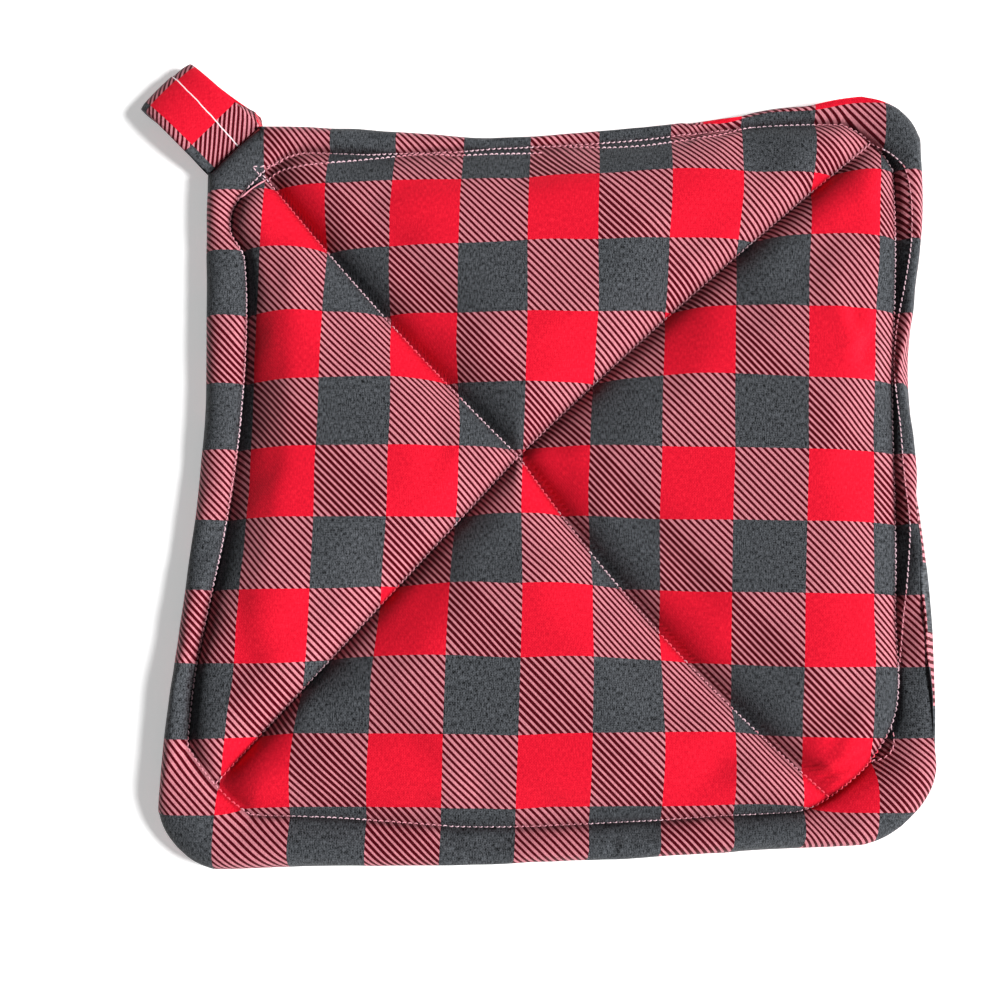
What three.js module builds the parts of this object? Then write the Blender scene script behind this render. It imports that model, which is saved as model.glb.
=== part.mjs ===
import * as THREE from 'three';

// A quilted square pot holder lying face up, in millimetres.
// X runs to the right, Y away from the viewer, Z up, and the back rests on Z = 0.

// Heights across the pad.
const pillowTop = 12;
const rollTop = 9;
const stitchTop = 5.2;
const seamHeight = 4.2;
const stitchUnderside = 2.2;
const backSwell = 4;

// Distances over which the cloth rises from a stitch line.
const pillowReach = 15;
const fullRollWidth = 12;
const rollCrestShare = 0.55;

// Cells from the centre out to the border stitching, and from there to the seam.
const pillowCells = 16;
const rollCells = 5;

// Both rings run anticlockwise from the lower left corner.
// cut: how far along both sides the corner is rounded off. full: 0 for a straight cut.
// turn: share of the rounding that lies before the diagonal.
const seamCorners = [
  { x: -98.8, y: -110.7, cut: 18.5, full: 0.47, turn: 0.5 },
  { x: 105.1, y: -103.1, cut: 23, full: 0.51, turn: 0.4 },
  { x: 107.8, y: 103.9, cut: 18.5, full: 0.48, turn: 0.5 },
  { x: -89.8, y: 92.2, cut: 15.5, full: 0.06, turn: 0.5 },
];
const stitchCorners = [
  { x: -90.8, y: -95.7, cut: 19, full: 0.26, turn: 0.5 },
  { x: 97.5, y: -94.7, cut: 32, full: 0.3, turn: 0.36 },
  { x: 99.5, y: 92.8, cut: 16, full: 0.41, turn: 0.5 },
  { x: -82.0, y: 85.3, cut: 22, full: 0.5, turn: 0.5 },
];

// How far each side lies inside the straight line between its corners, at fifths of its length.
const seamSides = [
  { side: 'lower', fifth: -0.1, twoFifths: -1.0, threeFifths: -1.0, fourFifths: -0.1 },
  { side: 'right', fifth: -0.3, twoFifths: 1.7, threeFifths: 5.0, fourFifths: 0.6 },
  { side: 'upper', fifth: 4.2, twoFifths: 7.3, threeFifths: 7.6, fourFifths: 3.1 },
  { side: 'left', fifth: 2.2, twoFifths: 4.6, threeFifths: 3.6, fourFifths: 0.9 },
];
const stitchSides = [
  { side: 'lower', fifth: -1.1, twoFifths: -3.7, threeFifths: -2.7, fourFifths: -0.7 },
  { side: 'right', fifth: 1.7, twoFifths: 1.7, threeFifths: 1.6, fourFifths: -0.2 },
  { side: 'upper', fifth: -0.5, twoFifths: 2.2, threeFifths: 3.0, fourFifths: 3.1 },
  { side: 'left', fifth: 5.8, twoFifths: 7.3, threeFifths: 5.1, fourFifths: 0.3 },
];

// The quilting cross: where its lines meet, and how far each arm bows to its left.
const crossing = new THREE.Vector2(-3.9, -1.3);
const arms = [
  { to: 'lower left', bow: 0 },
  { to: 'lower right', bow: -4 },
  { to: 'upper right', bow: 1.4 },
  { to: 'upper left', bow: 1.6 },
];

// The hanging loop: a strip folded in half, its ends together in the upper left corner seam.
const loopLength = 27.5;
const loopBaseWidth = 20;
const loopTipWidth = 18.7;
const loopCloth = 1.2;
const loopOpening = 6.4;
const loopJoined = 4;
const loopBlunt = 0.35;
const loopAngle = THREE.MathUtils.degToRad(136);
const loopClearance = 0.3;
const loopTipBulge = 0.5;
const foldSteps = 14;

const pillowRim = pillowCells / (pillowCells + rollCells);
const tau = Math.PI * 2;

// A side's inward offset at a share of its length, as a smooth curve through its row.
function drawnIn(row, share) {
  const stations = [0, row.fifth, row.twoFifths, row.threeFifths, row.fourFifths, 0];
  const points = stations.map((offset, i) => new THREE.Vector2(i / 5, offset));
  return new THREE.SplineCurve(points).getPoint(share).y;
}

function sidePoint(corners, sides, i, share) {
  const from = new THREE.Vector2(corners[i].x, corners[i].y);
  const to = new THREE.Vector2(corners[(i + 1) % 4].x, corners[(i + 1) % 4].y);
  const along = to.clone().sub(from).normalize();
  const inward = new THREE.Vector2(-along.y, along.x);
  return from.lerp(to, share).addScaledVector(inward, drawnIn(sides[i], share));
}

function sideLength(corners, i) {
  const next = corners[(i + 1) % 4];
  return Math.hypot(next.x - corners[i].x, next.y - corners[i].y);
}

function cornerArc(corners, sides, i) {
  const before = (i + 3) % 4;
  const tip = new THREE.Vector2(corners[i].x, corners[i].y);
  const start = sidePoint(corners, sides, before, 1 - corners[i].cut / sideLength(corners, before));
  const end = sidePoint(corners, sides, i, corners[i].cut / sideLength(corners, i));
  const leaving = start.clone().lerp(tip, corners[i].full);
  const arriving = end.clone().lerp(tip, corners[i].full);
  return new THREE.CubicBezierCurve(start, leaving, arriving, end);
}

// One side of a ring as a smooth curve, from one diagonal to the next.
function ringSide(corners, sides, i) {
  const next = (i + 1) % 4;
  const startArc = cornerArc(corners, sides, i);
  const endArc = cornerArc(corners, sides, next);
  const first = corners[i].cut / sideLength(corners, i);
  const last = 1 - corners[next].cut / sideLength(corners, i);
  const points = [];
  for (const share of [0, 0.34, 0.67]) {
    points.push(startArc.getPoint(THREE.MathUtils.lerp(corners[i].turn, 1, share)));
  }
  for (let step = 0; step <= 8; step += 1) {
    points.push(sidePoint(corners, sides, i, THREE.MathUtils.lerp(first, last, step / 8)));
  }
  for (const share of [0.33, 0.66, 1]) {
    points.push(endArc.getPoint(corners[next].turn * share));
  }
  return new THREE.SplineCurve(points);
}

const seam = seamSides.map((row, i) => ringSide(seamCorners, seamSides, i));
const stitchRing = stitchSides.map((row, i) => ringSide(stitchCorners, stitchSides, i));

function armPoint(i, share) {
  const end = stitchRing[i].getPointAt(0);
  const along = end.clone().sub(crossing).normalize();
  const left = new THREE.Vector2(-along.y, along.x);
  const point = crossing.clone().lerp(end, share);
  return point.addScaledVector(left, arms[i].bow * 4 * share * (1 - share));
}

// Distance from a point to a line sampled as short pieces.
function distanceTo(samples, point) {
  let nearest = Infinity;
  const piece = new THREE.Line3();
  const foot = new THREE.Vector3();
  const here = new THREE.Vector3(point.x, point.y, 0);
  for (let k = 1; k < samples.length; k += 1) {
    piece.start.set(samples[k - 1].x, samples[k - 1].y, 0);
    piece.end.set(samples[k].x, samples[k].y, 0);
    piece.closestPointToPoint(here, true, foot);
    nearest = Math.min(nearest, foot.distanceTo(here));
  }
  return nearest;
}

const armLines = arms.map((row, i) => Array.from({ length: 13 }, (_, k) => armPoint(i, k / 12)));
const stitchLines = stitchRing.map((curve) => curve.getSpacedPoints(32));

// A quarter ellipse from a stitch line up to the full height.
function swell(distance, reach) {
  const rest = 1 - Math.min(1, distance / reach);
  return Math.sqrt(1 - rest * rest);
}

// Rings of the grid: even out to the border stitching, then closer towards the stitching and the seam.
function ringShare(cell) {
  if (cell <= pillowCells) {
    return pillowRim * (cell / pillowCells);
  }
  const over = (cell - pillowCells) / rollCells;
  const eased = (1 - Math.cos(Math.PI * over)) / 2;
  return pillowRim + (1 - pillowRim) * eased;
}

// Front and back heights at a ring share and a place on a side.
function padPoint(i, ring, along) {
  const share = (along + 1) / 2;
  const onStitch = stitchRing[i].getPointAt(share);
  if (ring <= pillowRim) {
    const out = ring / pillowRim;
    const chord = armPoint(i, 1).lerp(armPoint((i + 1) % 4, 1), share);
    const flat = armPoint(i, out).lerp(armPoint((i + 1) % 4, out), share);
    flat.addScaledVector(onStitch.clone().sub(chord), out);
    const fromArms = Math.min(...armLines.map((line) => distanceTo(line, flat)));
    const fromRing = Math.min(...stitchLines.map((line) => distanceTo(line, flat)));
    const rise = swell(fromArms, pillowReach) * swell(fromRing, pillowReach);
    const front = stitchTop + (pillowTop - stitchTop) * rise;
    const back = Math.max(0, stitchUnderside - backSwell * rise);
    return { x: flat.x, y: flat.y, front, back };
  }
  const onSeam = seam[i].getPointAt(share);
  const across = (ring - pillowRim) / (1 - pillowRim);
  const flat = onStitch.clone().lerp(onSeam, across);
  const loft = Math.min(1, onStitch.distanceTo(onSeam) / fullRollWidth);
  const crest = stitchTop + (rollTop - stitchTop) * loft;
  const inner = across < rollCrestShare;
  const rest = inner ? 1 - across / rollCrestShare : (across - rollCrestShare) / (1 - rollCrestShare);
  const round = Math.sqrt(1 - rest * rest);
  const frontEdge = inner ? stitchTop : seamHeight;
  const backEdge = inner ? stitchUnderside : seamHeight;
  const front = frontEdge + (crest - frontEdge) * round;
  const back = Math.max(0, backEdge - (backEdge + backSwell - stitchUnderside) * round * loft);
  return { x: flat.x, y: flat.y, front, back: across === 1 ? seamHeight : back };
}

// Which side a grid node belongs to, its ring and its place along that side.
function gridNode(column, row) {
  const cell = Math.max(Math.abs(column), Math.abs(row));
  if (cell === 0) {
    return { side: 0, ring: 0, along: 0 };
  }
  const ring = ringShare(cell);
  if (row === -cell) {
    return { side: 0, ring, along: column / cell };
  }
  if (column === cell) {
    return { side: 1, ring, along: row / cell };
  }
  if (row === cell) {
    return { side: 2, ring, along: -column / cell };
  }
  return { side: 3, ring, along: -row / cell };
}

function quiltedPad() {
  const reach = pillowCells + rollCells;
  const positions = [];
  const frontIndex = new Map();
  const backIndex = new Map();
  for (let row = -reach; row <= reach; row += 1) {
    for (let column = -reach; column <= reach; column += 1) {
      const node = gridNode(column, row);
      const point = padPoint(node.side, node.ring, node.along);
      const key = `${column},${row}`;
      frontIndex.set(key, positions.length / 3);
      positions.push(point.x, point.y, point.front);
      const rim = Math.max(Math.abs(column), Math.abs(row)) === reach;
      backIndex.set(key, rim ? frontIndex.get(key) : positions.length / 3);
      if (!rim) {
        positions.push(point.x, point.y, point.back);
      }
    }
  }
  const triangles = [];
  for (let row = -reach; row < reach; row += 1) {
    for (let column = -reach; column < reach; column += 1) {
      const square = [[column, row], [column + 1, row], [column + 1, row + 1], [column, row + 1]];
      const rising = (column + 0.5) * (row + 0.5) > 0;
      const halves = rising ? [[0, 1, 2], [0, 2, 3]] : [[0, 1, 3], [1, 2, 3]];
      for (const [a, b, c] of halves) {
        triangles.push(...[a, b, c].map((k) => frontIndex.get(square[k].join(','))));
        triangles.push(...[a, c, b].map((k) => backIndex.get(square[k].join(','))));
      }
    }
  }
  const geometry = new THREE.BufferGeometry();
  geometry.setAttribute('position', new THREE.Float32BufferAttribute(positions, 3));
  geometry.setIndex(triangles);
  geometry.computeVertexNormals();
  return geometry;
}

// The loop's section: the fold is a drop shape, blunt where the two ends are joined.
function dropPoint(turn) {
  const inside = loopLength - loopCloth - loopJoined;
  const shape = Math.sin(turn) * Math.pow(Math.abs(Math.sin(turn / 2)), loopBlunt);
  const along = loopJoined + inside * (1 - Math.cos(turn)) / 2;
  return new THREE.Vector2(along, (loopOpening / 2) * shape);
}

function hangingLoop() {
  const inner = [];
  const outer = [new THREE.Vector2(0, -loopCloth), new THREE.Vector2(loopJoined, -loopCloth)];
  for (let step = 1; step < foldSteps * 2; step += 1) {
    const turn = tau - (tau * step) / (foldSteps * 2);
    const here = dropPoint(turn);
    const ahead = dropPoint(turn - 0.01);
    const behind = dropPoint(turn + 0.01);
    const run = ahead.sub(behind).normalize();
    inner.push(here);
    outer.push(here.clone().add(new THREE.Vector2(run.y, -run.x).multiplyScalar(loopCloth)));
  }
  outer.push(new THREE.Vector2(loopJoined, loopCloth), new THREE.Vector2(0, loopCloth));
  const section = new THREE.Shape(outer.filter((p, k) => k < 2 || k > outer.length - 3 || p.x > loopJoined));
  section.holes.push(new THREE.Path([new THREE.Vector2(loopJoined, 0), ...inner]));
  const geometry = new THREE.ExtrudeGeometry(section, { depth: 1, steps: 4, bevelEnabled: false });
  const place = geometry.attributes.position;
  for (let k = 0; k < place.count; k += 1) {
    const along = place.getX(k);
    const across = place.getZ(k) - 0.5;
    const share = along / loopLength;
    const width = THREE.MathUtils.lerp(loopBaseWidth, loopTipWidth, share);
    const bulge = loopTipBulge * share * (1 - 4 * across * across);
    place.setXYZ(k, along + bulge, -across * width, place.getY(k));
  }
  geometry.computeVertexNormals();
  return geometry;
}

function mesh(name, geometry, colour, roughness) {
  const material = new THREE.MeshStandardMaterial({ color: colour, roughness, metalness: 0 });
  const made = new THREE.Mesh(geometry, material);
  made.name = name;
  return made;
}

const pad = mesh('quilted_pad', quiltedPad(), 0xb01830, 0.92);
const loop = mesh('hanging_loop', hangingLoop(), 0xc01a34, 0.92);

const loopRoot = seam[3].getPointAt(0);
loop.position.set(
  loopRoot.x + loopClearance * Math.cos(loopAngle),
  loopRoot.y + loopClearance * Math.sin(loopAngle),
  seamHeight,
);
loop.rotation.z = loopAngle;

const potHolder = new THREE.Group();
potHolder.name = 'pot_holder';
potHolder.add(pad, loop);

export default potHolder;
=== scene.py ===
import math

import bpy
import numpy as np
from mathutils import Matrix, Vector
from mathutils.bvhtree import BVHTree


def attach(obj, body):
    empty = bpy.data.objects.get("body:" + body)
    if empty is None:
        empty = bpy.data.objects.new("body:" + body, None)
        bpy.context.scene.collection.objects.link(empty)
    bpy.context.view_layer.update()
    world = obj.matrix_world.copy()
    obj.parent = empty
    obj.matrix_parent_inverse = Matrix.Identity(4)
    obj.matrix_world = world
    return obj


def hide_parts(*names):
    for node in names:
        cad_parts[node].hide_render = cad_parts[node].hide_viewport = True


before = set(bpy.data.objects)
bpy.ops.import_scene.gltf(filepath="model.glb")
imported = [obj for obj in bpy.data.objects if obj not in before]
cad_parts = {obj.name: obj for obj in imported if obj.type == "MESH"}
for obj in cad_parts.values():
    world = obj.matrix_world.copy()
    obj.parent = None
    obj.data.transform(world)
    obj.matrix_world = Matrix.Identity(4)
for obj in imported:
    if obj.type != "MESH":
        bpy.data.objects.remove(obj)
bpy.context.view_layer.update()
mm = 0.001
scene = bpy.context.scene


def newNode(tree, kind, inputs=None, **settings):
    made = tree.nodes.new(kind)
    for name, value in settings.items():
        setattr(made, name, value)
    for key, value in (inputs or {}).items():
        if isinstance(value, bpy.types.NodeSocket):
            tree.links.new(value, made.inputs[key])
        else:
            made.inputs[key].default_value = value
    return made


def calc(tree, operation, *values, clamp=False):
    made = newNode(tree, "ShaderNodeMath", dict(enumerate(values)), operation=operation, use_clamp=clamp)
    return made.outputs[0]


def mixed(tree, share, low, high, blend="MIX"):
    made = newNode(tree, "ShaderNodeMix", data_type="RGBA", blend_type=blend)
    for socket, value in ((made.inputs[0], share), (made.inputs[6], low), (made.inputs[7], high)):
        if isinstance(value, bpy.types.NodeSocket):
            tree.links.new(value, socket)
        elif isinstance(value, tuple):
            socket.default_value = (*value, 1)
        else:
            socket.default_value = value
    return made.outputs[2]


def ranged(tree, value, start, end):
    made = newNode(tree, "ShaderNodeMapRange", {0: value, 1: start[0], 2: start[1], 3: end[0], 4: end[1]})
    return made.outputs[0]


def combined(tree, parts):
    return newNode(tree, "ShaderNodeCombineXYZ", parts).outputs[0]


def newMesh(name, points, faces, smooth=True):
    mesh = bpy.data.meshes.new(name)
    mesh.from_pydata([tuple(p) for p in points], [], faces)
    mesh.update()
    if smooth:
        mesh.polygons.foreach_set("use_smooth", [True] * len(mesh.polygons))
    made = bpy.data.objects.new(name, mesh)
    scene.collection.objects.link(made)
    return made


def pointValues(made, name, values):
    kind = "FLOAT" if np.ndim(values) == 1 else "FLOAT_VECTOR"
    layer = made.data.attributes.new(name, kind, "POINT")
    layer.data.foreach_set("value" if kind == "FLOAT" else "vector", np.ravel(values).astype(np.float32))


def printLayer(made, places):
    layer = made.data.uv_layers.new(name="print", do_init=False)
    layer.uv.foreach_set("vector", places.astype(np.float32).ravel())


# Camera, floor and lights

view = {"lens": 64.8, "distance": 486.0, "elevation": 80.0, "lookAt": (-9.0, -12.2)}
studio = {
    "floorReach": 3.0, "floorColour": (0.9, 0.9, 0.9), "floorRoughness": 0.9, "floorGlow": 0.4,
    "keyFrom": (0.82, -0.16, 0.7), "keySpread": 16.0, "keyPower": 5.5,
    "fillFrom": (0.2, -0.2, 1.0), "fillSpread": 120.0, "fillPower": 0.35,
    "skyStrength": 1.0,
}

scene.view_settings.view_transform = "Standard"
camera = bpy.data.objects.new("camera", bpy.data.cameras.new("camera"))
camera.data.lens = view["lens"]
tilt = math.radians(view["elevation"])
camera.location = Vector((view["lookAt"][0], view["lookAt"][1] - view["distance"] * math.cos(tilt),
                          view["distance"] * math.sin(tilt))) * mm
camera.rotation_euler = (math.pi / 2 - tilt, 0, 0)
camera.data.clip_start = 0.01
scene.collection.objects.link(camera)
scene.camera = camera

reach = studio["floorReach"]
floor = newMesh("floor", [(-reach, -reach, 0), (reach, -reach, 0), (reach, reach, 0), (-reach, reach, 0)],
                [(0, 1, 2, 3)])
floorLook = bpy.data.materials.new("paleFloor")
floorLook.use_nodes = True
floorShader = floorLook.node_tree.nodes["Principled BSDF"]
floorShader.inputs["Base Color"].default_value = (*studio["floorColour"], 1)
floorShader.inputs["Roughness"].default_value = studio["floorRoughness"]
floorShader.inputs["Emission Color"].default_value = (1, 1, 1, 1)
floorShader.inputs["Emission Strength"].default_value = studio["floorGlow"]
floor.data.materials.append(floorLook)

for name in ("key", "fill"):
    lamp = bpy.data.lights.new(name, "SUN")
    lamp.angle = math.radians(studio[name + "Spread"])
    lamp.energy = studio[name + "Power"]
    light = bpy.data.objects.new(name, lamp)
    light.location = studio[name + "From"]
    light.visible_glossy = name == "fill"
    light.rotation_euler = (-Vector(studio[name + "From"])).to_track_quat("-Z", "Y").to_euler()
    scene.collection.objects.link(light)

world = bpy.data.worlds.new("studio")
world.use_nodes = True
world.node_tree.nodes["Background"].inputs["Color"].default_value = (1, 1, 1, 1)
world.node_tree.nodes["Background"].inputs["Strength"].default_value = studio["skyStrength"]
scene.world = world
world.cycles_visibility.diffuse = False
world.cycles_visibility.glossy = False
print("camera, floor and lights set")


# Quilted pad: its shape

pad = {
    "pillowTop": 11.6, "rollTop": 9.0, "stitchTop": 5.2, "seamHeight": 4.2, "stitchUnderside": 2.2,
    "backSwell": 4.0, "pillowReach": 10.0, "ringReach": (10.0, 9.0, 9.0, 6.5), "fullRollWidth": 12.0,
    "rollCrest": 0.55, "grooveEase": 2.4, "pillowCells": 80, "rollCells": 24, "rimShare": 16 / 21,
    "seamNotch": 0.25, "notchFrom": 0.93, "notchSpan": 0.07, "lipFrom": 0.7, "lipSpan": 0.3, "lipRise": 0.9,
    # the stitch and seam shade values set the painted shade: how far it reaches from a stitch line, in mm,
    # and how strong it is along the seam
    "fullPeek": 0.8, "tabRoll": 1.3, "tabRollReach": 8.5, "stitchShade": 0.9, "seamShade": 0.9,
    "pressure": 4.0, "stretch": 0.012, "moveCap": 2.0, "calm": 2, "frames": 20,
    "quality": 6, "mass": 0.25, "stiffness": 20, "shear": 8, "bending": 0.6, "fill": 0.6,
}
seamCorners = [
    {"x": -98.8, "y": -110.7, "cut": 18.5, "full": 0.47, "turn": 0.5},
    {"x": 105.1, "y": -103.1, "cut": 23.0, "full": 0.51, "turn": 0.4},
    {"x": 107.8, "y": 103.9, "cut": 18.5, "full": 0.48, "turn": 0.5},
    {"x": -89.8, "y": 92.2, "cut": 15.5, "full": 0.06, "turn": 0.5},
]
stitchCorners = [
    {"x": -90.8, "y": -95.7, "cut": 19.0, "full": 0.26, "turn": 0.5},
    {"x": 97.5, "y": -94.7, "cut": 32.0, "full": 0.42, "turn": 0.27},
    {"x": 99.5, "y": 92.8, "cut": 16.0, "full": 0.41, "turn": 0.5},
    {"x": -82.0, "y": 85.3, "cut": 22.0, "full": 0.5, "turn": 0.5},
]
# how far each side is drawn in, at fifths of its length
seamDrawn = [(-0.1, -1.0, -1.0, -0.1), (-0.3, 1.7, 5.0, 0.6), (4.2, 7.3, 7.6, 3.1), (2.2, 4.6, 3.6, 0.9)]
stitchDrawn = [(-1.1, -3.7, -2.7, -0.7), (2.5, 1.8, 1.6, -0.2), (-0.5, 2.2, 3.0, 3.1), (5.8, 7.3, 5.1, 0.3)]
# a place where the stitching wanders outwards and comes back
stitchBumps = [{"side": 3, "start": 0.0, "peak": 0.1, "end": 0.155, "out": 3.2}]
crossing = np.array((-3.9, -1.3))
armBow = (0.0, -4.0, 1.4, 1.6)
# stretches where the seam rolls up onto the front; on side 1 the back panel shows past it
peeks = [
    {"side": 1, "start": 0.06, "end": 0.5, "reach": 3.2},
    {"side": 2, "start": 0.0, "end": 0.16, "reach": 2.0},
    {"side": 2, "start": 0.22, "end": 0.33, "reach": 2.4},
]
# small creases pressed into the front
creases = [
    {"x": -16.9, "y": -107.0, "angle": 118, "length": 7.0, "width": 1.3, "depth": 0.45},
    {"x": -20.2, "y": -104.6, "angle": 100, "length": 5.0, "width": 1.2, "depth": 0.3},
    {"x": 20.4, "y": -103.2, "angle": 80, "length": 6.0, "width": 1.2, "depth": 0.35},
    {"x": 24.5, "y": -102.4, "angle": 100, "length": 5.0, "width": 1.2, "depth": 0.25},
    {"x": 80.0, "y": -83.6, "angle": 30, "length": 17.0, "width": 1.2, "depth": 1.5},
    {"x": 73.5, "y": -85.0, "angle": -38, "length": 9.0, "width": 1.3, "depth": 1.1},
    {"x": 77.0, "y": -77.5, "angle": 60, "length": 8.0, "width": 1.6, "depth": 0.6},
    {"x": 89.5, "y": 27.0, "angle": 65, "length": 13.0, "width": 2.6, "depth": 0.9},
    {"x": 86.5, "y": 35.0, "angle": 100, "length": 10.0, "width": 2.2, "depth": 0.6},
    {"x": -28.5, "y": 83.5, "angle": 150, "length": 6.0, "width": 1.2, "depth": 0.5},
    {"x": -22.5, "y": 83.0, "angle": 30, "length": 6.0, "width": 1.2, "depth": 0.5},
    {"x": 44.0, "y": 88.5, "angle": 35, "length": 8.0, "width": 1.3, "depth": 0.6},
    {"x": 53.5, "y": 89.5, "angle": 20, "length": 8.0, "width": 1.3, "depth": 0.6},
]


def pressedIn(flat):
    depth = np.zeros(len(flat))
    for crease in creases:
        turn = math.radians(crease["angle"])
        away = flat - (crease["x"], crease["y"])
        along = away @ (math.cos(turn), math.sin(turn)) / (crease["length"] / 2)
        aside = away @ (-math.sin(turn), math.cos(turn)) / crease["width"]
        fade = np.clip(1 - along * along, 0, 1)
        depth += crease["depth"] * fade * (np.exp(-aside * aside) - 0.6 * np.exp(-((abs(aside) - 1.7) ** 2)))
    return depth


def curveThrough(points, shares):
    points = np.asarray(points, float)
    last = len(points) - 1
    place = np.clip(np.atleast_1d(np.asarray(shares, float)) * last, 0, last - 1e-9)
    k = place.astype(int)
    w = (place - k)[:, None]
    a, b, c, d = points[np.maximum(k - 1, 0)], points[k], points[k + 1], points[np.minimum(k + 2, last)]
    return b + 0.5 * w * (c - a + w * (2 * a - 5 * b + 4 * c - d + w * (3 * (b - c) + d - a)))


def evenly(points, shares):
    fine = curveThrough(points, np.linspace(0, 1, 801))
    run = np.r_[0, np.cumsum(np.hypot(*np.diff(fine, axis=0).T))]
    at = np.asarray(shares) * run[-1]
    return np.c_[np.interp(at, run, fine[:, 0]), np.interp(at, run, fine[:, 1])]


def cornerTip(corners, i):
    return np.array((corners[i % 4]["x"], corners[i % 4]["y"]))


def sidePoint(corners, drawn, i, share):
    here, there = cornerTip(corners, i), cornerTip(corners, i + 1)
    along = (there - here) / np.linalg.norm(there - here)
    stations = np.c_[np.linspace(0, 1, 6), (0, *drawn[i], 0)]
    aside = np.array((-along[1], along[0]))
    return here + (there - here) * share + aside * curveThrough(stations, share)[0, 1]


def sideLength(corners, i):
    return np.linalg.norm(cornerTip(corners, i + 1) - cornerTip(corners, i))


def cornerArc(corners, drawn, i, share):
    before = (i + 3) % 4
    tip, cut, full = cornerTip(corners, i), corners[i]["cut"], corners[i]["full"]
    start = sidePoint(corners, drawn, before, 1 - cut / sideLength(corners, before))
    end = sidePoint(corners, drawn, i, cut / sideLength(corners, i))
    leaving, arriving = start + (tip - start) * full, end + (tip - end) * full
    rest = 1 - share
    return (rest**3 * start + 3 * rest * rest * share * leaving
            + 3 * rest * share * share * arriving + share**3 * end)


def ringSide(corners, drawn, i, shares):
    shares = np.asarray(shares, float)
    after = (i + 1) % 4
    first = corners[i]["cut"] / sideLength(corners, i)
    last = 1 - corners[after]["cut"] / sideLength(corners, i)
    turn = corners[i]["turn"]
    points = [cornerArc(corners, drawn, i, turn + (1 - turn) * s) for s in (0, 0.34, 0.67)]
    points += [sidePoint(corners, drawn, i, first + (last - first) * k / 8) for k in range(9)]
    points += [cornerArc(corners, drawn, after, corners[after]["turn"] * s) for s in (0.33, 0.66, 1)]
    line = evenly(points, shares)
    for bump in stitchBumps if corners is stitchCorners else []:
        if bump["side"] == i:
            run = evenly(points, np.minimum(1, shares + 0.002))
            run = run - evenly(points, np.maximum(0, shares - 0.002))
            run /= np.linalg.norm(run, axis=1, keepdims=True)
            rise = np.interp(shares, (bump["start"], bump["peak"], bump["end"]), (0, 1, 0))
            out = bump["out"] * np.sin(rise * np.pi / 2) ** 2
            line = line + np.c_[run[:, 1], -run[:, 0]] * out[:, None]
    return line


def armPoint(i, shares):
    end = ringSide(stitchCorners, stitchDrawn, i % 4, [0])[0]
    along = (end - crossing) / np.linalg.norm(end - crossing)
    s = np.atleast_1d(shares)[:, None]
    return crossing + (end - crossing) * s + np.array((-along[1], along[0])) * armBow[i % 4] * 4 * s * (1 - s)


def nearest(lines, points):
    best = np.full(len(points), 1e9)
    for line in lines:
        for start, end in zip(line[:-1], line[1:]):
            run = end - start
            t = np.clip(((points - start) @ run) / (run @ run), 0, 1)
            best = np.minimum(best, np.hypot(*(points - start - t[:, None] * run).T))
    return best


def swell(distance, reach):
    eased = distance * distance / (distance + pad["grooveEase"])
    rest = 1 - np.minimum(1, eased / reach)
    return np.sqrt(1 - rest * rest)


def turnedOver(angle, wide, high):
    # extra cloth needed to follow the edge of a roll down instead of straight out
    steps = np.linspace(0, 1, 13)[:, None] * angle
    run = np.hypot(wide * np.diff(np.sin(steps), axis=0), high * np.diff(np.cos(steps), axis=0)).sum(axis=0)
    return run - wide * np.sin(angle)


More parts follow.
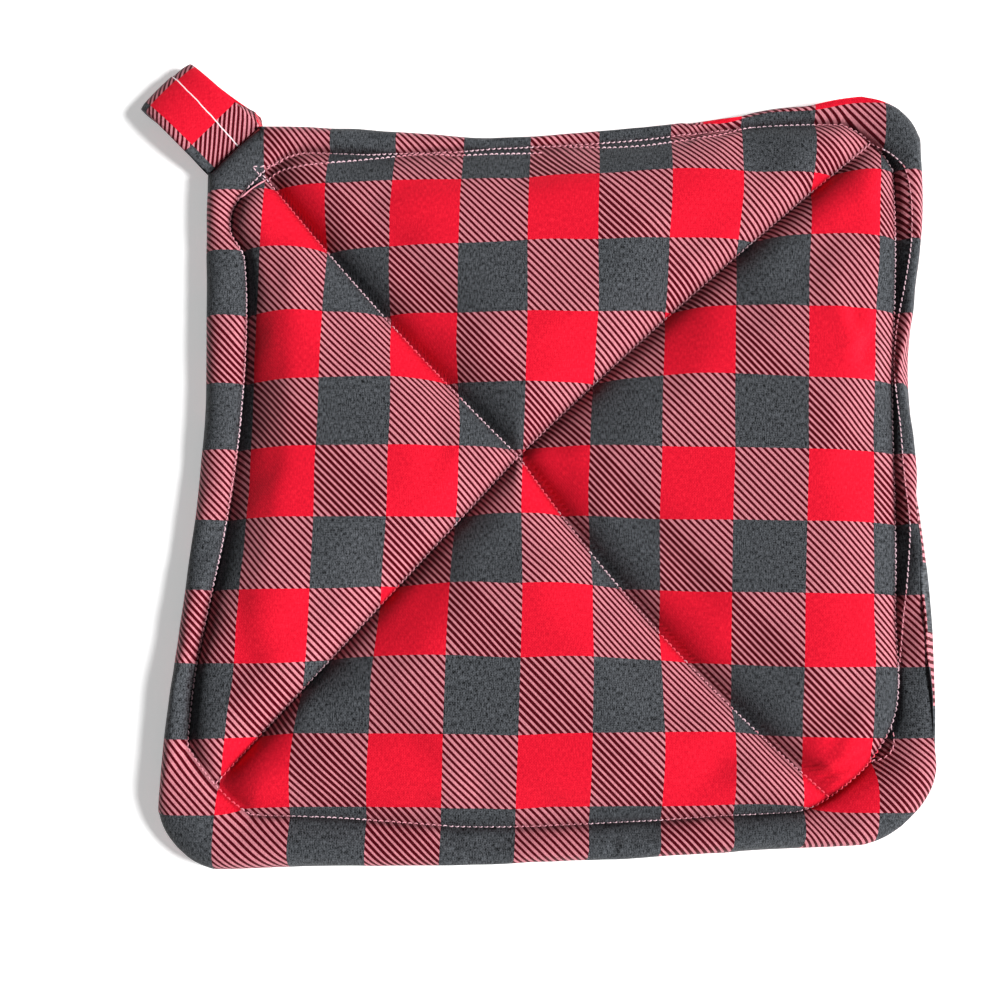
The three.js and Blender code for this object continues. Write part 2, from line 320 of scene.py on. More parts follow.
def padGrid(inner, outer):
    reach, rim = inner + outer, pad["rimShare"]
    steps = np.arange(-reach, reach + 1)
    column, row = np.meshgrid(steps, steps)
    cell = np.maximum(abs(column), abs(row))
    over = np.clip((cell - inner) / outer, 0, 1)
    ring = np.where(cell <= inner, rim * cell / inner, rim + (1 - rim) * (1 - np.cos(np.pi * over)) / 2)
    side = np.where(row == -cell, 0, np.where(column == cell, 1, np.where(row == cell, 2, 3)))
    along = np.choose(side, [column, row, -column, -row]) / np.maximum(cell, 1)
    share, side, ring = ((along + 1) / 2).ravel(), side.ravel(), ring.ravel()
    out = np.minimum(1, ring / rim)
    across = np.clip((ring - rim) / (1 - rim), 0, 1)
    flat = np.zeros((len(ring), 2))
    onStitch, onSeam = flat.copy(), flat.copy()
    for i in range(4):
        here = side == i
        w, far = share[here][:, None], out[here]
        onStitch[here] = ringSide(stitchCorners, stitchDrawn, i, share[here])
        onSeam[here] = ringSide(seamCorners, seamDrawn, i, share[here])
        chord = armPoint(i, 1) * (1 - w) + armPoint(i + 1, 1) * w
        between = armPoint(i, far) * (1 - w) + armPoint(i + 1, far) * w
        flat[here] = between + (onStitch[here] - chord) * far[:, None]
    width = np.hypot(*(onSeam - onStitch).T)
    peek = np.zeros(len(ring))
    for spot in peeks:
        t = np.clip((share - spot["start"]) / (spot["end"] - spot["start"]), 0, 1)
        peek += np.where(side == spot["side"], spot["reach"] * (1 - (2 * t - 1) ** 4) ** 2, 0)
    lip = np.clip((across - pad["lipFrom"]) / pad["lipSpan"], 0, 1)
    lip = lip * lip * (3 - 2 * lip)
    notch = pad["seamNotch"] * np.clip((across - pad["notchFrom"]) / pad["notchSpan"], 0, 1) ** 2
    shown = np.minimum(1, peek / pad["fullPeek"])
    outward = (onSeam - onStitch) / np.maximum(width, 1e-6)[:, None]
    flatBack = flat + outward * (width * (across + shown * (np.minimum(1, across * 1.3) - across))
                                 - peek * lip - notch)[:, None]
    flat = flat + outward * (width * across - peek * lip * across - notch)[:, None]
    toCorner = np.hypot(*(onSeam - ringSide(seamCorners, seamDrawn, 3, [0])[0]).T)
    nearTab = np.exp(-((toCorner / pad["tabRollReach"]) ** 4))
    lean = pad["tabRoll"] * nearTab * np.sin(np.pi * np.clip(across * 1.15 - 0.15, 0, 1)) ** 0.8
    flat = flat + outward * lean[:, None]
    fromArms = nearest([armPoint(i, np.linspace(0, 1, 13)) for i in range(4)], flat)
    stitchSides = [ringSide(stitchCorners, stitchDrawn, i, np.linspace(0, 1, 65)) for i in range(4)]
    fromSides = [nearest([line], flat) for line in stitchSides]
    fromRing = np.min(fromSides, axis=0)
    rise = np.min([swell(*pair) for pair in zip(fromSides, pad["ringReach"])], axis=0)
    rise = rise * swell(fromArms, pad["pillowReach"])
    front = pad["stitchTop"] + (pad["pillowTop"] - pad["stitchTop"]) * rise
    back = np.maximum(0, pad["stitchUnderside"] - pad["backSwell"] * rise)
    loft = np.minimum(1, width / pad["fullRollWidth"])
    crest, crestAt = pad["stitchTop"] + (pad["rollTop"] - pad["stitchTop"]) * loft, pad["rollCrest"]
    inside = across < crestAt
    rest = np.where(inside, 1 - across / crestAt, (across - crestAt) / (1 - crestAt))
    bulge = np.sqrt(1 - rest * rest)
    frontEdge = np.where(inside, pad["stitchTop"], pad["seamHeight"])
    backEdge = np.where(inside, pad["stitchUnderside"], pad["seamHeight"])
    sink = (backEdge + pad["backSwell"] - pad["stitchUnderside"]) * bulge * loft
    onRoll = across > 0
    rolled = pad["lipRise"] * peek * lip
    front = np.where(onRoll, frontEdge + (crest - frontEdge) * bulge, front) + rolled
    back = np.where(onRoll, np.maximum(0, backEdge - sink), back) + rolled
    back = np.where(across == 1, front, back)
    flatBack = np.where((across == 1)[:, None], flat, flatBack)
    size = 2 * reach + 1
    held = (across == 1) | (cell.ravel() == inner) | ((abs(column) == abs(row)).ravel() & (out < 1))
    over = np.where(inside, 0, np.arcsin(np.clip(rest, 0, 1))) * onRoll
    wide = width * (1 - crestAt)
    frontTurn = outward * turnedOver(over, wide, crest - pad["seamHeight"])[:, None]
    backTurn = outward * turnedOver(over, wide, pad["seamHeight"] * loft)[:, None]
    return {"size": size, "flat": flat, "flatBack": flatBack, "front": front, "back": back, "across": across,
            "fromArms": fromArms, "fromRing": fromRing, "held": held,
            "frontTurn": frontTurn, "backTurn": backTurn}


def padFaces(size):
    # the rim is shared by both faces; cells on a quilting line are split along it
    number = np.arange(size * size).reshape(size, size)
    rim = np.zeros((size, size), bool)
    rim[[0, -1], :] = True
    rim[:, [0, -1]] = True
    under = np.where(rim, number, size * size + np.cumsum(~rim.ravel()).reshape(size, size) - 1)
    faces, corners = [], []
    for top, order in ((number, 1), (under, -1)):
        for r in range(size - 1):
            for c in range(size - 1):
                cells = [(r, c), (r, c + 1), (r + 1, c + 1), (r + 1, c)]
                parts = [cells]
                if r == c:
                    parts = [cells[:3], [cells[0], cells[2], cells[3]]]
                elif r + c == size - 2:
                    parts = [[cells[0], cells[1], cells[3]], cells[1:]]
                for part in parts:
                    part = part[::order]
                    faces.append([int(top[p]) for p in part])
                    corners += [(p[0] * size + p[1], order) for p in part]
    return faces, ~rim.ravel(), np.array(corners)


def stacked(grid, front, back):
    inner = padFaces(grid["size"])[1]
    return np.vstack((np.c_[grid["flat"], front], np.c_[grid["flatBack"], back][inner])) * mm


def inflated(grid):
    # a cloth shell held at every stitch line and at the seam, blown up by the wadding
    faces, inner, _ = padFaces(grid["size"])
    rest = stacked(grid, grid["front"], grid["back"])
    shell = newMesh("shell", rest, faces)
    held = shell.vertex_groups.new(name="held")
    held.add([int(k) for k in np.flatnonzero(np.r_[grid["held"], grid["held"][inner]])], 1.0, "ADD")
    cloth = shell.modifiers.new("cloth", "CLOTH")
    use = cloth.settings
    use.quality = pad["quality"]
    use.mass = pad["mass"]
    use.tension_stiffness = pad["stiffness"]
    use.compression_stiffness = pad["stiffness"]
    use.shear_stiffness = pad["shear"]
    use.bending_stiffness = pad["bending"]
    use.shrink_min = -pad["stretch"]
    use.use_pressure = True
    use.uniform_pressure_force = pad["pressure"]
    use.vertex_group_mass = "held"
    use.effector_weights.gravity = 0
    cloth.point_cache.frame_end = pad["frames"]
    for now in range(1, pad["frames"] + 1):
        scene.frame_set(now)
    seen = shell.evaluated_get(bpy.context.evaluated_depsgraph_get())
    moved = np.empty(len(rest) * 3, np.float32)
    seen.data.vertices.foreach_get("co", moved)
    move = moved.reshape(-1, 3) - rest
    far = np.linalg.norm(move, axis=1, keepdims=True)
    move *= np.minimum(1, pad["moveCap"] * mm / np.maximum(far, 1e-9))
    scene.frame_set(1)
    bpy.data.objects.remove(shell)
    top = move[:grid["size"] ** 2].reshape(grid["size"], grid["size"], 3)
    low = np.zeros_like(top).reshape(-1, 3)
    low[inner] = move[grid["size"] ** 2:]
    loose = 1 - grid["held"].reshape(grid["size"], grid["size"], 1)
    return softened(top, pad["calm"]) * loose, softened(low.reshape(top.shape), pad["calm"]) * loose


def softened(field, times):
    for _ in range(times):
        for axis in (0, 1):
            before = np.concatenate((field.take([0], axis), field.take(range(len(field) - 1), axis)), axis)
            after = np.concatenate((field.take(range(1, len(field)), axis), field.take([-1], axis)), axis)
            field = (before + 2 * field + after) / 4
    return field


def finer(field):
    # each cell halved, and the new points eased in
    size = len(field)
    wide = np.zeros((2 * size - 1, size, 3))
    wide[::2], wide[1::2] = field, (field[1:] + field[:-1]) / 2
    full = np.zeros((2 * size - 1, 2 * size - 1, 3))
    full[:, ::2], full[:, 1::2] = wide, (wide[:, 1:] + wide[:, :-1]) / 2
    return softened(full, 1)


grid = padGrid(pad["pillowCells"], pad["rollCells"])
faces, inner, corners = padFaces(grid["size"])
points = stacked(grid, grid["front"], grid["back"])
coarse = padGrid(pad["pillowCells"] // 2, pad["rollCells"] // 2)
topMove, lowMove = inflated(coarse)
points += np.vstack((finer(topMove).reshape(-1, 3), finer(lowMove).reshape(-1, 3)[inner]))
points[:len(grid["flat"]), 2] -= pressedIn(grid["flat"]) * np.where(grid["across"] == 1, 0, 1) * mm
points[:, 2] = np.maximum(points[:, 2], 0)
print("pad shaped")


# Printed check

check = {
    "size": 19.05, "stripe": 1.905, "step": 0.19, "thread": 0.36,
    "frontShift": (-7.15, 9.4), "backShift": (-4.45, -18.5), "frontLean": -0.035, "backLean": -0.008,
    "upScale": 0.99, "takeUp": 0.4, "ease": 40,
    "red": (0.735, 0.008, 0.028), "charcoal": (0.054, 0.058, 0.064),
    "pale": (0.63, 0.225, 0.265), "dark": (0.07, 0.0005, 0.004), "paleShare": 0.47,
    "acrossGrain": (3.8, 0.8, 1), "alongGrain": (0.9, 3.8, 1), "acrossShare": 0.6, "alongShare": 0.4,
    "fleckRange": (0.38, 0.62), "redTones": (0.8, 1.16), "charcoalTones": (0.1, 1.95),
    "weaveTone": 0.08, "charcoalWeaveTone": 0.2, "fadeRange": (0.5, 0.68), "fade": (0.0, 0.012),
    "fadedTo": (0.8, 0.8, 0.8), "rawEdge": (0.84, 0.74, 0.76), "rawFrom": 0.55,
    # this line starts with the colour and strength of the painted shade along the stitch lines and the seam
    "paintedShadeColour": (0.012, 0.002, 0.003), "paintedShadeStrength": 0.5, "bump": 0.35, "bumpDepth": 0.00006,
    "roughness": 0.6, "gloss": 0.2, "sheen": 0.02, "sheenRoughness": 0.5,
}
# how far the cloth has crept, in mm, at the 25 red squares from the upper left to the lower right
creepAcross = [(0.8, -0.4, -1.4, -0.5, 1.2), (-0.1, -0.2, -0.4, -0.4, 0.2), (0.6, 0.5, -0.5, -0.5, 0.0),
               (0.5, 0.4, 0.7, -0.5, -0.5), (-0.6, 0.5, 0.8, 0.1, -1.0)]
creepDown = [(2.2, 0.7, -0.3, -1.6, -1.3), (1.4, 0.1, 0.5, -0.4, 0.9), (-0.2, -0.3, -0.7, 0.6, 1.0),
             (-0.7, -1.1, -0.6, 0.1, 0.5), (0.1, 0.3, 0.1, -0.3, -0.7)]
# places where the cloth was pulled out of line as it was sewn
pulls = [
    {"x": -92.0, "y": 82.0, "reach": 17.0, "across": -2.6, "up": 3.6},
    {"x": 51.0, "y": 95.0, "reach": 8.0, "across": 0.0, "up": 3.6},
]


def creep(table, across, up):
    # read between the squares of the table
    table = np.array(table)
    column = np.clip(across / (2 * check["size"]) + 2, 0, 3.999)
    row = np.clip(2 - up / (2 * check["size"]), 0, 3.999)
    c, r = column.astype(int), row.astype(int)
    u, v = (1 - np.cos(np.pi * (column - c))) / 2, (1 - np.cos(np.pi * (row - r))) / 2
    upper = table[r, c] * (1 - u) + table[r, c + 1] * u
    return upper * (1 - v) + (table[r + 1, c] * (1 - u) + table[r + 1, c + 1] * u) * v


def takenUp(run, height, axis):
    # extra cloth that the slopes use up, counted from the middle
    step, climb = np.diff(run, axis=axis), np.diff(height, axis=axis)
    spare = np.cumsum(np.hypot(step, climb) - abs(step), axis=axis)
    spare = np.insert(spare, 0, 0, axis=axis)
    return spare - np.take(spare, [run.shape[axis] // 2], axis=axis)


def printPlaces(grid, height, shift, lean, turned):
    size = grid["size"]
    x, y = (grid["flat"][:, k].reshape(size, size) for k in (0, 1))
    z = height.reshape(size, size)
    onPillow = np.clip(np.arange(size), pad["rollCells"], size - 1 - pad["rollCells"])
    spare = np.stack((takenUp(x, z, 1), takenUp(y, z, 0)), -1)[onPillow][:, onPillow]
    spare = softened(spare, check["ease"]) * check["takeUp"]
    across = x + lean * y + shift[0] + spare[..., 0]
    up = y * check["upScale"] + shift[1] + spare[..., 1]
    over = across - creep(creepAcross, across, up)
    down = up + creep(creepDown, across, up)
    places = np.c_[over.ravel(), down.ravel()]
    for pull in pulls:
        near = np.exp(-(np.hypot(x - pull["x"], y - pull["y"]) / pull["reach"]) ** 2)
        places += near.reshape(-1, 1) * (pull["across"], pull["up"])
    return places + turned


def cottonGroup():
    tree = bpy.data.node_groups.new("checkedCotton", "ShaderNodeTree")
    tree.interface.new_socket("Place", in_out="INPUT", socket_type="NodeSocketVector")
    for name, kind in (("Color", "NodeSocketColor"), ("Weave", "NodeSocketFloat")):
        tree.interface.new_socket(name, in_out="OUTPUT", socket_type=kind)
    place = newNode(tree, "NodeGroupInput").outputs["Place"]
    split = newNode(tree, "ShaderNodeSeparateXYZ", {0: place})
    p, q = split.outputs[0], split.outputs[1]
    band = []
    for run in (p, q):
        turn = calc(tree, "FRACT", calc(tree, "MULTIPLY_ADD", run, 0.5 / check["size"], 100.25))
        band.append(calc(tree, "LESS_THAN", turn, 0.5))
    both = calc(tree, "ADD", *band)
    isRed = calc(tree, "GREATER_THAN", both, 1.5)
    isCharcoal = calc(tree, "LESS_THAN", both, 0.5)
    stepped = [calc(tree, "SNAP", run, check["step"]) for run in (p, q)]
    diagonal = calc(tree, "ADD", *stepped)
    turn = calc(tree, "FRACT", calc(tree, "MULTIPLY_ADD", diagonal, 1 / check["stripe"], 500.0))
    isPale = calc(tree, "LESS_THAN", turn, check["paleShare"])
    hatch = mixed(tree, isPale, check["dark"], check["pale"])
    tone = mixed(tree, isCharcoal, mixed(tree, isRed, hatch, check["red"]), check["charcoal"])
    # uneven threads in both directions, and the weave that binds them
    threads = []
    for scale in (check["acrossGrain"], check["alongGrain"]):
        grain = newNode(tree, "ShaderNodeMapping", {"Vector": place, "Scale": scale}).outputs[0]
        noise = newNode(tree, "ShaderNodeTexNoise", {"Vector": grain, "Scale": 1.0, "Detail": 2.0})
        threads.append(noise.outputs[0])
    along = calc(tree, "MULTIPLY", threads[1], check["alongShare"])
    fleck = calc(tree, "MULTIPLY_ADD", threads[0], check["acrossShare"], along)
    turns = [calc(tree, "SINE", calc(tree, "MULTIPLY", run, math.pi / check["thread"])) for run in (p, q)]
    weave = calc(tree, "MULTIPLY", *turns)
    grey = ranged(tree, fleck, check["fleckRange"], check["charcoalTones"])
    vivid = ranged(tree, fleck, check["fleckRange"], check["redTones"])
    light = newNode(tree, "ShaderNodeMix", {0: isCharcoal, 2: vivid, 3: grey}, data_type="FLOAT").outputs[0]
    depth = calc(tree, "MULTIPLY_ADD", isCharcoal, check["charcoalWeaveTone"], check["weaveTone"])
    light = calc(tree, "MULTIPLY_ADD", weave, depth, light)
    toned = mixed(tree, 1.0, tone, light, "MULTIPLY")
    faded = ranged(tree, fleck, check["fadeRange"], check["fade"])
    toned = mixed(tree, faded, toned, check["fadedTo"])
    weave = calc(tree, "MULTIPLY_ADD", weave, 0.5, fleck)
    newNode(tree, "NodeGroupOutput", {"Color": toned, "Weave": weave})
    return tree


cotton = cottonGroup()


def cottonLook(name, rawEdge=None, paintedShade=None):
    look = bpy.data.materials.new(name)
    look.use_nodes = True
    tree = look.node_tree
    shader = tree.nodes["Principled BSDF"]
    place = newNode(tree, "ShaderNodeUVMap", uv_map="print").outputs[0]
    group = tree.nodes.new("ShaderNodeGroup")
    group.node_tree = cotton
    tree.links.new(place, group.inputs["Place"])
    tone = group.outputs["Color"]
    if rawEdge:
        frayed = newNode(tree, "ShaderNodeAttribute", attribute_name=rawEdge).outputs["Fac"]
        tone = mixed(tree, calc(tree, "GREATER_THAN", frayed, check["rawFrom"]), tone, check["rawEdge"])
    # painted shade: where the mask is high, the print is darkened towards near-black
    if paintedShade:
        near = newNode(tree, "ShaderNodeAttribute", attribute_name=paintedShade).outputs["Fac"]
        tone = mixed(tree, calc(tree, "MULTIPLY", near, check["paintedShadeStrength"]), tone, check["paintedShadeColour"])
    tree.links.new(tone, shader.inputs["Base Color"])
    bump = newNode(tree, "ShaderNodeBump", {"Height": group.outputs["Weave"], "Strength": check["bump"],
                                            "Distance": check["bumpDepth"]})
    tree.links.new(bump.outputs[0], shader.inputs["Normal"])
    shader.inputs["Specular IOR Level"].default_value = check["gloss"]
    shader.inputs["Roughness"].default_value = check["roughness"]
    shader.inputs["Sheen Weight"].default_value = check["sheen"]
    shader.inputs["Sheen Roughness"].default_value = check["sheenRoughness"]
    return look


padPiece = newMesh("pad", points, faces)
frontPlaces = printPlaces(grid, grid["front"], check["frontShift"], check["frontLean"], grid["frontTurn"])
backPlaces = printPlaces(grid, grid["back"], check["backShift"], check["backLean"], grid["backTurn"])
uv = np.where(corners[:, 1:] > 0, frontPlaces[corners[:, 0]], backPlaces[corners[:, 0]])
printLayer(padPiece, uv)
# painted shade: the print is darkened along every stitch line and along the seam, standing in for the shade
# in the grooves
paintedShadeMask = np.exp(-((np.minimum(grid["fromArms"], grid["fromRing"]) / pad["stitchShade"]) ** 2))
paintedShadeMask = np.maximum(paintedShadeMask, np.where(grid["across"] == 1, pad["seamShade"], 0))
pointValues(padPiece, "paintedShade", np.r_[paintedShadeMask, paintedShadeMask[inner]])
padPiece.data.materials.append(cottonLook("padCotton", paintedShade="paintedShade"))
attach(padPiece, "root")
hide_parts("quilted_pad")
print("pad dressed")


# Hanging tab: a strip folded in half, one raw edge lapping over the other

tab = {
    "length": 27.5, "baseWidth": 20.0, "tipWidth": 18.7, "cloth": 1.2, "opening": 6.4, "joined": 4.0,
    "blunt": 0.35, "angle": 136.0, "clearance": 0.3, "tipBulge": 0.5, "height": 4.2,
    "lapAtBase": -1.75, "lapAtTip": -3.25, "lapHeight": 0.3, "rawWidth": 0.2, "skew": 2.6,
    "droop": 0.35, "droopFrom": 0.82, "droopSpan": 0.18, "easeIn": 5.0,
    "redStart": 4.2, "redEnd": 20.4, "redInset": 2.8, "flat": (0.0195, 0.058),
}


def tabSection(count):
    turns = np.linspace(2 * math.pi - 0.05, 0.05, 160)
    inside = tab["length"] - tab["cloth"] - tab["joined"]

    def drop(turn):
        shape = np.sin(turn) * abs(np.sin(turn / 2)) ** tab["blunt"]
        return np.c_[tab["joined"] + inside * (1 - np.cos(turn)) / 2, tab["opening"] / 2 * shape]

    run = drop(turns - 0.01) - drop(turns + 0.01)
    run /= np.linalg.norm(run, axis=1, keepdims=True)
    hole = drop(turns)
    skin = hole + np.c_[run[:, 1], -run[:, 0]] * tab["cloth"]
    skin = skin[(skin[:, 0] > tab["joined"] + 1.2)]
    ends = np.array([(0, 1), (tab["joined"] * 0.5, 1)]) * (1, tab["cloth"])
    skin = np.vstack((ends * (1, -1), skin, ends[::-1]))
    even = np.linspace(0, 1, count)
    return evenly(skin, even), evenly(np.vstack(((tab["joined"], 0), hole, (tab["joined"], 0))), even)


def tabMesh(count=81):
    skin, hole = tabSection(count)
    length = np.r_[0, np.cumsum(np.hypot(*np.diff(skin, axis=0).T))]
    fromTip = length - length[-1] / 2
    step = np.array((-0.5, -0.12, 0.0, 0.16, 0.6))
    spread = np.linspace(-1, 1, 25)
    points, places, edges = [], [], []
    columns = len(spread) + len(step)
    for layer, line in (("skin", skin), ("hole", hole)):
        for k in range(count):
            share = line[k, 0] / tab["length"]
            half = (tab["baseWidth"] + (tab["tipWidth"] - tab["baseWidth"]) * share) / 2
            lap = tab["lapAtBase"] + (tab["lapAtTip"] - tab["lapAtBase"]) * share
            lap += 0.05 * math.sin(fromTip[k] * 0.9) + 0.03 * math.sin(fromTip[k] * 2.3)
            y = np.sort(np.r_[spread * half, lap + step])
            on = (y > lap + 0.05).astype(float) if layer == "skin" else np.zeros(columns)
            out = skin[k] - hole[k] if layer == "skin" else np.zeros(2)
            out = out / max(np.linalg.norm(out), 1e-6)
            droop = np.zeros(columns)
            if layer == "skin":
                droop = -tab["droop"] * np.maximum(0, abs(y) / half - tab["droopFrom"]) / tab["droopSpan"]
            eased = min(1, line[k, 0] / tab["easeIn"])
            rise = on * tab["lapHeight"] * eased + droop * eased
            bulge = tab["tipBulge"] * share * (1 - (y / half) ** 2)
            below = np.clip(-fromTip[k] / 7, 0, 1) * np.clip((line[k, 0] + 1) / 3, 0, 1)
            if layer == "hole" and fromTip[k] > 0:
                below = np.clip(1 - (line[k, 0] - tab["joined"]) / 6, 0, 1)
            slide = -tab["skew"] * (1 - 0.75 * share) * below
            points.append(np.c_[line[k, 0] + bulge + out[0] * rise, y + slide, line[k, 1] + out[1] * rise])
            along = (fromTip[k] - (tab["redStart"] + tab["redEnd"]) / 2) * check["size"]
            along /= tab["redEnd"] - tab["redStart"]
            middle = tab["baseWidth"] / 2 - tab["redInset"] - check["size"] / 2
            places.append(np.c_[np.full(columns, along), middle - y])
            raw = np.exp(-(((y - lap - 0.02) / tab["rawWidth"]) ** 2))
            edges.append(raw if layer == "skin" else np.zeros(columns))
    number = np.arange(2 * count * columns).reshape(2, count, columns)
    number[1, -1] = number[1, 0]
    faces = []
    for k in range(count - 1):
        for c in range(columns - 1):
            faces.append((number[0, k, c], number[0, k, c + 1], number[0, k + 1, c + 1], number[0, k + 1, c]))
            faces.append((number[1, k, c], number[1, k + 1, c], number[1, k + 1, c + 1], number[1, k, c + 1]))
        for c, order in ((0, 1), (columns - 1, -1)):
            rim = (number[0, k, c], number[0, k + 1, c], number[1, k + 1, c], number[1, k, c])
            faces.append(rim[::order])
    for c in range(columns - 1):
        faces.append((number[0, 0, c + 1], number[0, 0, c], number[0, -1, c], number[0, -1, c + 1]))
    for c, order in ((0, 1), (columns - 1, -1)):
        faces.append((number[0, -1, c], number[0, 0, c], number[1, 0, c])[::order])
    points, places, edges = np.vstack(points), np.vstack(places), np.concatenate(edges)
    # the last row of the hole is its first row again, so it is left out
    kept = (2 * count - 1) * columns
    turn = math.radians(tab["angle"])
    ahead = np.array((math.cos(turn), math.sin(turn)))
    root = ringSide(seamCorners, seamDrawn, 3, [0])[0] + tab["clearance"] * ahead
    x = root[0] + points[:, 0] * math.cos(turn) - points[:, 1] * math.sin(turn)
    y = root[1] + points[:, 0] * math.sin(turn) + points[:, 1] * math.cos(turn)
    placed = np.c_[x, y, points[:, 2] + tab["height"]][:kept] * mm
    faces = [tuple(int(v) for v in face) for face in faces]
    made = newMesh("tab", placed, faces)
    pointValues(made, "rawEdge", edges[:kept])
    loops = np.empty(len(made.data.loops), np.int32)
    made.data.loops.foreach_get("vertex_index", loops)
    printLayer(made, places[loops])
    return made


tabPiece = tabMesh()
tabPiece.data.materials.append(cottonLook("tabCotton", "rawEdge"))
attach(tabPiece, "root")
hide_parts("hanging_loop")
print("tab made")


# Stitching: one arched thread for each stitch, laid along the sewn lines

thread = {
    "pitch": 1.5, "length": 1.0, "radius": 0.19, "arch": 0.45, "lift": 0.12, "aside": 0.3, "slant": 14.0,
    "uneven": 0.12, "underside": 0.6, "seed": 7, "roughness": 0.6, "sheen": 0.1,
    "ply": 4000.0, "plyTones": (0.85, 1.1), "plyBump": 0.4, "plyDepth": 0.00005,
    "onRed": (0.95, 0.09, 0.14), "onHatch": (0.74, 0.3, 0.36), "onCharcoal": (0.82, 0.56, 0.63),
}
# the second line of stitches: how far it lies outside the first, along that side
secondLines = [
    {"side": 1, "start": 0.19, "end": 1.0,
     "away": (0.0, 1.4, 2.7, 3.4, 2.4, 1.8, 0.6, 0.8, 2.6, 4.2, 3.6, 0.0)},
    {"side": 1, "start": 0.075, "end": 0.135, "away": (0.2, 2.2, 2.8, 1.8, 0.2)},
    {"side": 2, "start": 0.2, "end": 0.5, "away": (0.0, -2.4, -2.6, -2.7, -2.0, -0.7)},
    {"side": 2, "start": 0.54, "end": 1.0, "away": (-2.6, -2.2, -1.9, -0.7, -1.9, -4.0, -5.4, -2.4)},
]
# a thread left lying across the start of the line, and the stitches that fasten it
looseThread = [(-79.3, 71.0), (-73.4, 75.9)]
fastening = [(-76.8, 79.4), (-73.4, 75.9)]
lineEnd = [(-68.3, 81.8), (-72.9, 79.9), (-76.8, 79.4)]


def outwards(line):
    run = np.gradient(line, axis=0)
    run /= np.linalg.norm(run, axis=1, keepdims=True)
    return np.c_[run[:, 1], -run[:, 0]]


def sewnLines():
    lines = [armPoint(i, np.linspace(0, 1, 80)) for i in range(4)]
    lines += [ringSide(stitchCorners, stitchDrawn, i, np.linspace(0, 1, 120)) for i in range(4)]
    for row in secondLines:
        shares = np.linspace(row["start"], row["end"], 90)
        base = ringSide(stitchCorners, stitchDrawn, row["side"], shares)
        stations = np.c_[np.linspace(0, 1, len(row["away"])), row["away"]]
        away = curveThrough(stations, np.linspace(0, 1, 90))[:, 1:]
        lines.append(base + outwards(base) * away)
    lines += [np.linspace(*fastening, 9), np.array(lineEnd)]
    return lines


def printKind(places):
    bands = [(places[:, k] / (2 * check["size"]) + 100.25) % 1 < 0.5 for k in (0, 1)]
    return bands[0].astype(int) + bands[1]


def stitchPoints(lines, below, span=0):
    # places, directions and colours of the stitches, found on the pad's own surface
    surface = BVHTree.FromPolygons([Vector(p) for p in points], faces)
    chance = np.random.default_rng(thread["seed"] + below)
    places = backPlaces if below else frontPlaces
    found = []
    for line in lines:
        length = np.hypot(*np.diff(line, axis=0).T).sum()
        count = 1 if span else int(length / thread["pitch"])
        shares = (np.arange(count) + 0.5) / count
        spots = evenly(line, shares + chance.normal(0, 0.05, count) / count)
        ahead = evenly(line, np.minimum(1, shares + 0.004)) - evenly(line, np.maximum(0, shares - 0.004))
        for spot, run in zip(spots, ahead):
            ray = Vector((0, 0, 1 if below else -1))
            start = Vector((spot[0] - thread["aside"], spot[1], -60 if below else 60))
            hit, normal, face, _ = surface.ray_cast(start * mm, ray)
            if hit is None:
                continue
            hit.z = max(hit.z, thread["underside"] * mm) if below else hit.z
            found.append((*hit, *normal, *run, 0, faces[face][0]))
    found = np.array(found)
    node = found[:, 9].astype(int)
    limit = grid["size"] ** 2
    back = np.flatnonzero(inner)
    node = np.where(node < limit, node, back[np.clip(node - limit, 0, len(back) - 1)])
    kind = printKind(places[node])
    tones = np.array((thread["onCharcoal"], thread["onHatch"], thread["onRed"]))
    return np.c_[found[:, :9], tones[kind], np.full(len(found), span or 1)]


def named(tree, name, kind):
    return newNode(tree, "GeometryNodeInputNamedAttribute", {"Name": name}, data_type=kind).outputs[0]


def chanceBetween(tree, low, high, seed):
    made = newNode(tree, "FunctionNodeRandomValue", {2: low, 3: high, "Seed": seed}, data_type="FLOAT")
    return made.outputs[1]


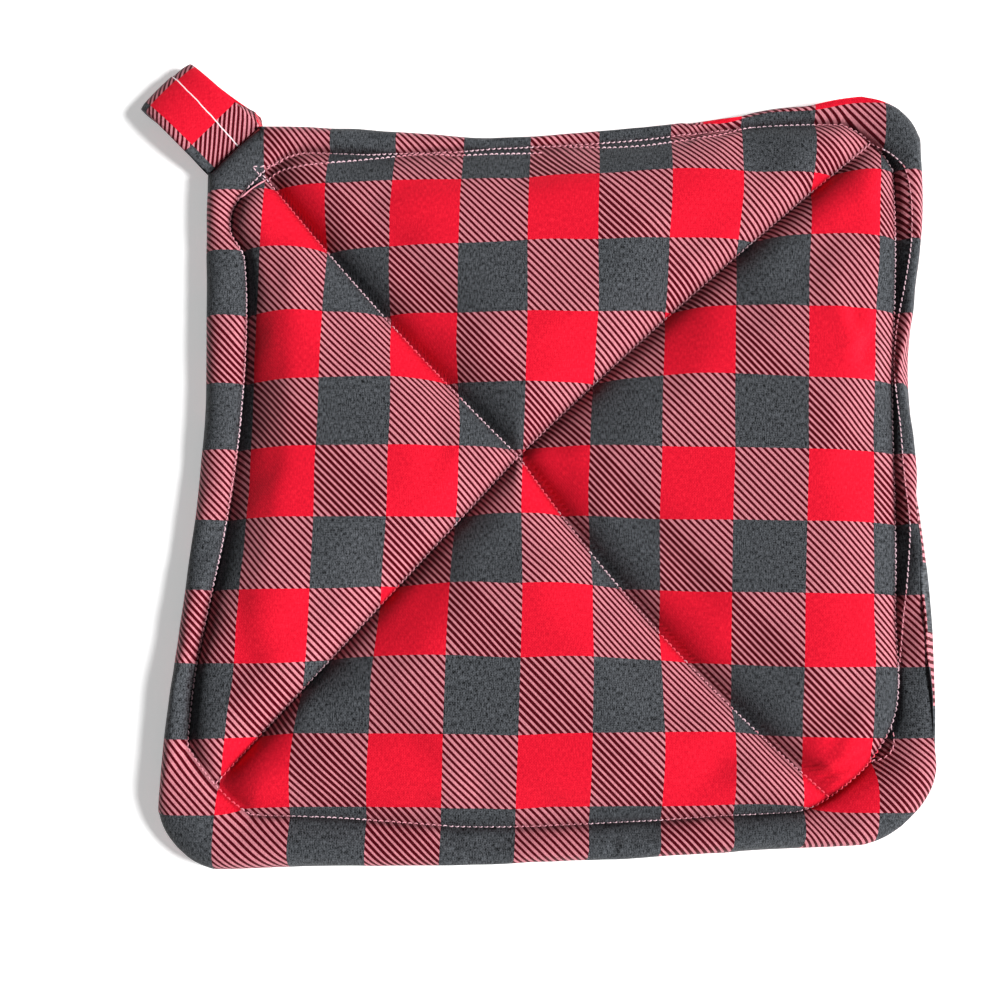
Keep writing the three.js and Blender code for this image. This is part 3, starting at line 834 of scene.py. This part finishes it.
def stitchTree(look):
    tree = bpy.data.node_groups.new("stitchRow", "GeometryNodeTree")
    tree.interface.new_socket("Geometry", in_out="INPUT", socket_type="NodeSocketGeometry")
    for name in ("Length", "Radius", "Arch", "Slant", "Uneven"):
        tree.interface.new_socket(name, in_out="INPUT", socket_type="NodeSocketFloat")
    tree.interface.new_socket("Seed", in_out="INPUT", socket_type="NodeSocketInt")
    tree.interface.new_socket("Geometry", in_out="OUTPUT", socket_type="NodeSocketGeometry")
    given = newNode(tree, "NodeGroupInput").outputs
    half = calc(tree, "MULTIPLY", given["Length"], 0.5)
    dip = calc(tree, "MULTIPLY", given["Radius"], -1.3)
    start = combined(tree, {0: calc(tree, "MULTIPLY", half, -1.0), 2: dip})
    middle = combined(tree, {2: given["Arch"]})
    end = combined(tree, {0: half, 2: dip})
    bow = newNode(tree, "GeometryNodeCurveQuadraticBezier",
                  {"Resolution": 4, "Start": start, "Middle": middle, "End": end})
    ring = newNode(tree, "GeometryNodeCurvePrimitiveCircle", {"Resolution": 6, "Radius": given["Radius"]})
    body = newNode(tree, "GeometryNodeCurveToMesh",
                   {"Curve": bow.outputs[0], "Profile Curve": ring.outputs[0], "Fill Caps": True})
    body = newNode(tree, "GeometryNodeSetShadeSmooth", {"Geometry": body.outputs[0]})
    normal = named(tree, "facing", "FLOAT_VECTOR")
    run = named(tree, "heading", "FLOAT_VECTOR")
    turn = newNode(tree, "FunctionNodeAxesToRotation", {"Primary Axis": normal, "Secondary Axis": run},
                   primary_axis="Z", secondary_axis="X").outputs[0]
    low = calc(tree, "SUBTRACT", 1.0, given["Uneven"])
    high = calc(tree, "ADD", 1.0, given["Uneven"])
    size = chanceBetween(tree, low, high, given["Seed"])
    tilt = chanceBetween(tree, 0.3, 1.0, given["Seed"])
    long = calc(tree, "MULTIPLY", size, named(tree, "span", "FLOAT"))
    size = combined(tree, {0: long, 1: size, 2: size})
    slant = combined(tree, {2: calc(tree, "MULTIPLY", tilt, given["Slant"])})
    slant = newNode(tree, "FunctionNodeEulerToRotation", {0: slant}).outputs[0]
    turn = newNode(tree, "FunctionNodeRotateRotation", {0: turn, 1: slant}, rotation_space="LOCAL").outputs[0]
    stitch = {"Points": given["Geometry"], "Instance": body.outputs[0], "Rotation": turn, "Scale": size}
    laid = newNode(tree, "GeometryNodeInstanceOnPoints", stitch)
    real = newNode(tree, "GeometryNodeRealizeInstances", {0: laid.outputs[0]})
    done = newNode(tree, "GeometryNodeSetMaterial", {"Geometry": real.outputs[0], "Material": look})
    newNode(tree, "NodeGroupOutput", {"Geometry": done.outputs[0]})
    return tree


def threadLook():
    look = bpy.data.materials.new("thread")
    look.use_nodes = True
    tree = look.node_tree
    shader = tree.nodes["Principled BSDF"]
    tone = newNode(tree, "ShaderNodeAttribute", attribute_name="tone").outputs["Color"]
    place = newNode(tree, "ShaderNodeTexCoord").outputs["Object"]
    noise = {"Vector": place, "Scale": thread["ply"], "Detail": 2.0}
    ply = newNode(tree, "ShaderNodeTexNoise", noise).outputs[0]
    light = ranged(tree, ply, (0.3, 0.7), thread["plyTones"])
    tree.links.new(mixed(tree, 1.0, tone, light, "MULTIPLY"), shader.inputs["Base Color"])
    bump = newNode(tree, "ShaderNodeBump", {"Height": ply, "Strength": thread["plyBump"],
                                            "Distance": thread["plyDepth"]})
    tree.links.new(bump.outputs[0], shader.inputs["Normal"])
    shader.inputs["Roughness"].default_value = thread["roughness"]
    shader.inputs["Sheen Weight"].default_value = thread["sheen"]
    return look


stitchLook = threadLook()
stitchNodes = stitchTree(stitchLook)
lines = sewnLines()
for name, below in (("frontStitching", 0), ("backStitching", 1)):
    found = stitchPoints(lines, below)
    if not below:
        long = math.dist(*looseThread) / thread["length"]
        found = np.vstack((found, stitchPoints([np.linspace(*looseThread, 9)], below, long)))
    at, normal = found[:, :3], found[:, 3:6]
    rows = newMesh(name + "Rows", at + normal * thread["lift"] * mm, [])
    pointValues(rows, "facing", normal)
    pointValues(rows, "heading", found[:, 6:9])
    pointValues(rows, "tone", found[:, 9:12])
    pointValues(rows, "span", found[:, 12])
    laid = rows.modifiers.new("stitches", "NODES")
    laid.node_group = stitchNodes
    values = {"Length": thread["length"] * mm, "Radius": thread["radius"] * mm, "Arch": thread["arch"] * mm,
              "Slant": math.radians(thread["slant"]), "Uneven": thread["uneven"], "Seed": thread["seed"]}
    for socket in stitchNodes.interface.items_tree:
        if socket.in_out == "INPUT" and socket.name in values:
            laid[socket.identifier] = values[socket.name]
    seen = rows.evaluated_get(bpy.context.evaluated_depsgraph_get())
    mesh = bpy.data.meshes.new_from_object(seen)
    bpy.data.objects.remove(rows)
    piece = bpy.data.objects.new(name, mesh)
    scene.collection.objects.link(piece)
    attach(piece, "root")
    print(name, len(at), "stitches,", len(mesh.polygons), "faces")
